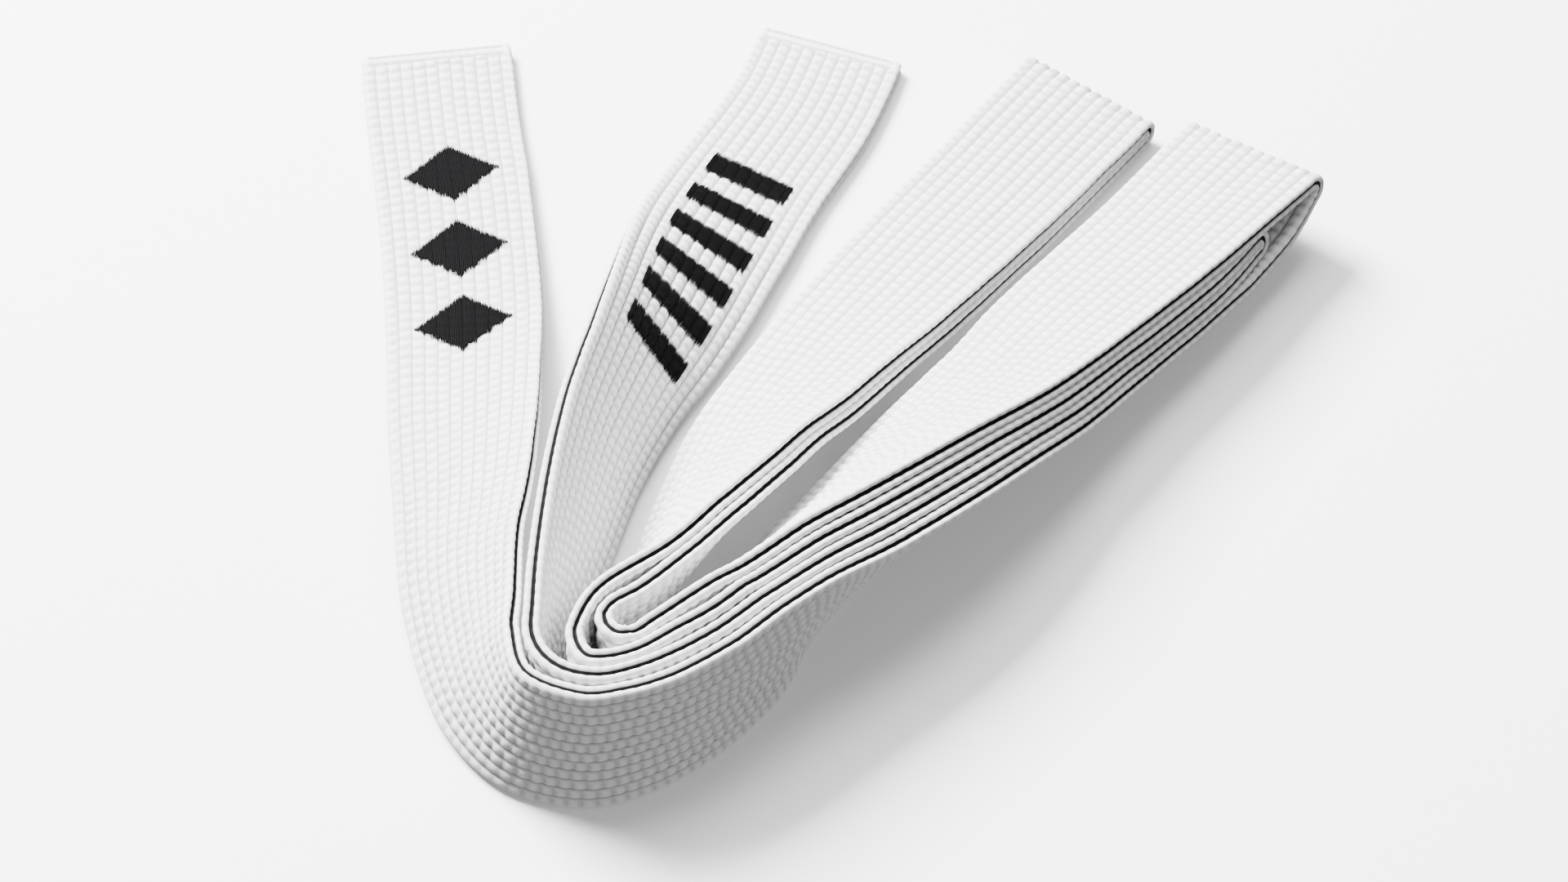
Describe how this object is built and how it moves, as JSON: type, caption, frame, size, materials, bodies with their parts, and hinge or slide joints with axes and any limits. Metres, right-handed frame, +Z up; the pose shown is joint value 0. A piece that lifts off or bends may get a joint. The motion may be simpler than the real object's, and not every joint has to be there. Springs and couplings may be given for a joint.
{
  "type": "martial arts belt",
  "caption": "Padded white cotton belt with rows of stitching and black embroidered marks near each tip, folded into a bundle that stands on its edge at one end and fans out flat at the other.",
  "frame": {"origin": "on the floor, below the middle of the bundle's bounding box", "axes": "+Z up from the floor, +Y from the near end, where the belt stands on its edge, towards the far ends of the arms, +X to the right, from arm 1 towards arm 4"},
  "size_m": [0.2506, 0.2416, 0.0455],
  "materials": {
    "white_cotton": "bleached cotton twill, matte, with close rows of stitching",
    "cotton_padding": "unbleached cotton wadding",
    "white_thread": "white sewing thread",
    "black_thread": "black satin-stitch embroidery, slight sheen"
  },
  "bodies": {
    "bundle": {"face_cover_outer_run": "white_cotton", "back_cover_outer_run": "white_cotton", "core_outer_run": "cotton_padding", "face_cover_inner_run": "white_cotton", "back_cover_inner_run": "white_cotton", "core_inner_run": "cotton_padding", "face_cover_second_run": "white_cotton", "back_cover_second_run": "white_cotton", "core_second_run": "cotton_padding", "face_cover_third_run": "white_cotton", "back_cover_third_run": "white_cotton", "core_third_run": "cotton_padding", "bar_2": "black_thread", "bar_3": "black_thread", "bar_4": "black_thread", "bar_5": "black_thread", "bar_6": "black_thread"},
    "arm_1": {"face_cover_arm_1": "white_cotton", "back_cover_arm_1": "white_cotton", "core_arm_1": "cotton_padding", "lozenge_2": "black_thread", "lozenge_3": "black_thread"},
    "tip_1": {"face_cover_tip_1": "white_cotton", "back_cover_tip_1": "white_cotton", "core_tip_1": "cotton_padding", "end_seam_1": "white_thread", "lozenge_1": "black_thread"},
    "tip_2": {"face_cover_tip_2": "white_cotton", "back_cover_tip_2": "white_cotton", "core_tip_2": "cotton_padding", "end_seam_2": "white_thread", "bar_1": "black_thread"},
    "short_loop": {"face_cover_short_loop": "white_cotton", "back_cover_short_loop": "white_cotton", "core_short_loop": "cotton_padding"},
    "long_loop": {"face_cover_long_loop_outer": "white_cotton", "back_cover_long_loop_outer": "white_cotton", "core_long_loop_outer": "cotton_padding", "face_cover_long_loop_inner": "white_cotton", "back_cover_long_loop_inner": "white_cotton", "core_long_loop_inner": "cotton_padding"}
  },
  "joints": [
    {"name": "arm_1_swing", "type": "hinge", "parent": "bundle", "child": "arm_1", "pos_m": [-0.08556, -0.11033, 0.00148], "axis": [0, 0, 1], "range_deg": [0, 15]},
    {"name": "tip_1_lift", "type": "hinge", "parent": "arm_1", "child": "tip_1", "pos_m": [-0.09733, 0.05526, 0.00483], "axis": [0.9901, 0.1353, 0.0377], "range_deg": [0, 50]},
    {"name": "tip_2_lift", "type": "hinge", "parent": "bundle", "child": "tip_2", "pos_m": [-0.02423, 0.05871, 0.0071], "axis": [0.8929, -0.4246, -0.1498], "range_deg": [0, 50]},
    {"name": "short_loop_lift", "type": "hinge", "parent": "bundle", "child": "short_loop", "pos_m": [0.03094, 0.04581, 0.0117], "axis": [0.779, -0.6087, 0.1507], "range_deg": [0, 35]},
    {"name": "long_loop_lift", "type": "hinge", "parent": "bundle", "child": "long_loop", "pos_m": [0.05613, 0.00585, 0.02499], "axis": [0.7023, -0.604, 0.3768], "range_deg": [0, 30]}
  ]
}
